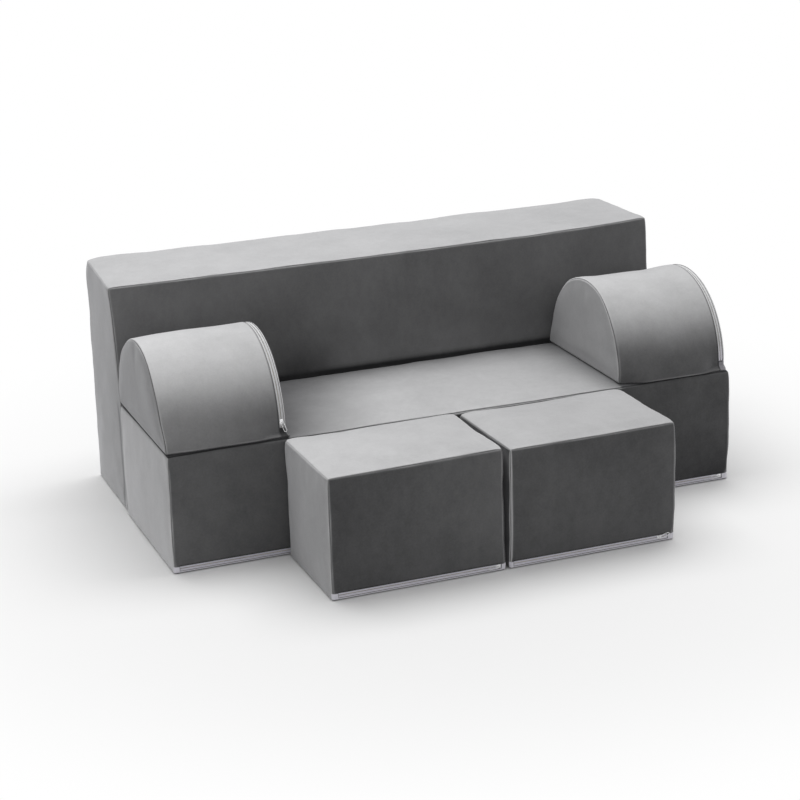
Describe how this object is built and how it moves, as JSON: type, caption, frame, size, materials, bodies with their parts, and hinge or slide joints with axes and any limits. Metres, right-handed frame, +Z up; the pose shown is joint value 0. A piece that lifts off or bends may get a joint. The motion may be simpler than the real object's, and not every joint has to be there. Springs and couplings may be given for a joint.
{
  "type": "modular play sofa",
  "caption": "Modular foam play sofa: long seat and backrest blocks, half-round arm bolsters and ottoman blocks, each a foam core in a liner and a zipped velvet cover.",
  "frame": {"origin": "on the floor, under the middle of the whole sofa's outer box", "axes": "+X along the sofa's width, to the right of someone who faces it; +Y from the ottomans to the backrest; +Z up"},
  "size_m": [1.206, 0.8588, 0.483],
  "materials": {
    "grey_velvet": "matte",
    "liner_cloth": "matte",
    "cream_foam": "matte",
    "zip_tape": "matte",
    "zip_coil": "satin",
    "zip_metal": "satin"
  },
  "bodies": {
    "seat": {"seat_cover": "grey_velvet", "seat_inner_liner": "liner_cloth", "seat_foam_core": "cream_foam", "seat_zip_tape_upper": "zip_tape", "seat_zip_tape_lower": "zip_tape", "seat_zip_coil_upper": "zip_coil", "seat_zip_coil_lower": "zip_coil"},
    "backrest": {"backrest_cover": "grey_velvet", "backrest_inner_liner": "liner_cloth", "backrest_foam_core": "cream_foam", "backrest_zip_tape_upper": "zip_tape", "backrest_zip_tape_lower": "zip_tape", "backrest_zip_coil_upper": "zip_coil", "backrest_zip_coil_lower": "zip_coil"},
    "bolster_left": {"bolster_left_cover": "grey_velvet", "bolster_left_inner_liner": "liner_cloth", "bolster_left_foam_core": "cream_foam", "bolster_left_zip_tape_end_side": "zip_tape", "bolster_left_zip_tape_arch_side": "zip_tape", "bolster_left_zip_coil_end_side": "zip_coil", "bolster_left_zip_coil_arch_side": "zip_coil"},
    "bolster_right": {"bolster_right_cover": "grey_velvet", "bolster_right_inner_liner": "liner_cloth", "bolster_right_foam_core": "cream_foam", "bolster_right_zip_tape_end_side": "zip_tape", "bolster_right_zip_tape_arch_side": "zip_tape", "bolster_right_zip_coil_end_side": "zip_coil", "bolster_right_zip_coil_arch_side": "zip_coil"},
    "ottoman_left": {"ottoman_left_cover": "grey_velvet", "ottoman_left_inner_liner": "liner_cloth", "ottoman_left_foam_core": "cream_foam", "ottoman_left_zip_tape_upper": "zip_tape", "ottoman_left_zip_tape_lower": "zip_tape", "ottoman_left_zip_coil_upper": "zip_coil", "ottoman_left_zip_coil_lower": "zip_coil"},
    "ottoman_right": {"ottoman_right_cover": "grey_velvet", "ottoman_right_inner_liner": "liner_cloth", "ottoman_right_foam_core": "cream_foam", "ottoman_right_zip_tape_upper": "zip_tape", "ottoman_right_zip_tape_lower": "zip_tape", "ottoman_right_zip_coil_upper": "zip_coil", "ottoman_right_zip_coil_lower": "zip_coil"},
    "seat_slider": {"seat_zip_slider": "zip_metal"},
    "seat_pull": {"seat_zip_pull": "zip_metal"},
    "backrest_slider": {"backrest_zip_slider": "zip_metal"},
    "backrest_pull": {"backrest_zip_pull": "zip_metal"},
    "bolster_left_slider": {"bolster_left_zip_slider": "zip_metal"},
    "bolster_left_pull": {"bolster_left_zip_pull": "zip_metal"},
    "bolster_right_slider": {"bolster_right_zip_slider": "zip_metal"},
    "bolster_right_pull": {"bolster_right_zip_pull": "zip_metal"},
    "ottoman_left_slider": {"ottoman_left_zip_slider": "zip_metal"},
    "ottoman_left_pull": {"ottoman_left_zip_pull": "zip_metal"},
    "ottoman_right_slider": {"ottoman_right_zip_slider": "zip_metal"},
    "ottoman_right_pull": {"ottoman_right_zip_pull": "zip_metal"}
  },
  "joints": [
    {"name": "backrest_moves_away", "type": "slide", "parent": "seat", "child": "backrest", "axis": [0, 1, 0], "range_m": [0, 0.4]},
    {"name": "ottoman_left_moves_away", "type": "slide", "parent": "seat", "child": "ottoman_left", "axis": [0, -1, 0], "range_m": [0, 0.4]},
    {"name": "ottoman_right_moves_away", "type": "slide", "parent": "seat", "child": "ottoman_right", "axis": [0, -1, 0], "range_m": [0, 0.4]},
    {"name": "bolster_left_lifts_off", "type": "slide", "parent": "seat", "child": "bolster_left", "axis": [0, 0, 1], "range_m": [0, 0.3]},
    {"name": "bolster_right_lifts_off", "type": "slide", "parent": "seat", "child": "bolster_right", "axis": [0, 0, 1], "range_m": [0, 0.3]},
    {"name": "seat_slider_travel", "type": "slide", "parent": "seat", "child": "seat_slider", "axis": [-1, 0, 0], "range_m": [0, 1.165]},
    {"name": "backrest_slider_travel", "type": "slide", "parent": "backrest", "child": "backrest_slider", "axis": [1, 0, 0], "range_m": [0, 1.165]},
    {"name": "ottoman_left_slider_travel", "type": "slide", "parent": "ottoman_left", "child": "ottoman_left_slider", "axis": [-1, 0, 0], "range_m": [0, 0.315]},
    {"name": "ottoman_right_slider_travel", "type": "slide", "parent": "ottoman_right", "child": "ottoman_right_slider", "axis": [-1, 0, 0], "range_m": [0, 0.3]},
    {"name": "bolster_left_slider_travel", "type": "hinge", "parent": "bolster_left", "child": "bolster_left_slider", "pos_m": [-0.3675, 0.0045, 0.2523], "axis": [-1, 0, 0], "range_deg": [0, 168]},
    {"name": "bolster_right_slider_travel", "type": "hinge", "parent": "bolster_right", "child": "bolster_right_slider", "pos_m": [0.5905, 0.0045, 0.2523], "axis": [1, 0, 0], "range_deg": [0, 143]},
    {"name": "seat_pull_swing", "type": "hinge", "parent": "seat_slider", "child": "seat_pull", "pos_m": [0.5835, -0.1779, 0.0095], "axis": [0, 0, 1], "range_deg": [0, 142]},
    {"name": "backrest_pull_swing", "type": "hinge", "parent": "backrest_slider", "child": "backrest_pull", "pos_m": [-0.5835, 0.4259, 0.03], "axis": [1, 0, 0], "range_deg": [0, 40]},
    {"name": "ottoman_left_pull_swing", "type": "hinge", "parent": "ottoman_left_slider", "child": "ottoman_left_pull", "pos_m": [-0.0325, -0.4259, 0.0095], "axis": [0, 0, 1], "range_deg": [0, 142]},
    {"name": "ottoman_right_pull_swing", "type": "hinge", "parent": "ottoman_right_slider", "child": "ottoman_right_pull", "pos_m": [0.312, -0.4259, 0.0095], "axis": [0.309, 0, -0.9511], "range_deg": [0, 142]},
    {"name": "bolster_left_pull_swing", "type": "hinge", "parent": "bolster_left_slider", "child": "bolster_left_pull", "pos_m": [-0.3675, -0.16293, 0.27034], "axis": [-0.9511, -0.0331, -0.3072], "range_deg": [0, 142]},
    {"name": "bolster_right_pull_swing", "type": "hinge", "parent": "bolster_right_slider", "child": "bolster_right_pull", "pos_m": [0.5905, 0.15034, 0.3365], "axis": [1, 0, 0], "range_deg": [0, 142]}
  ]
}
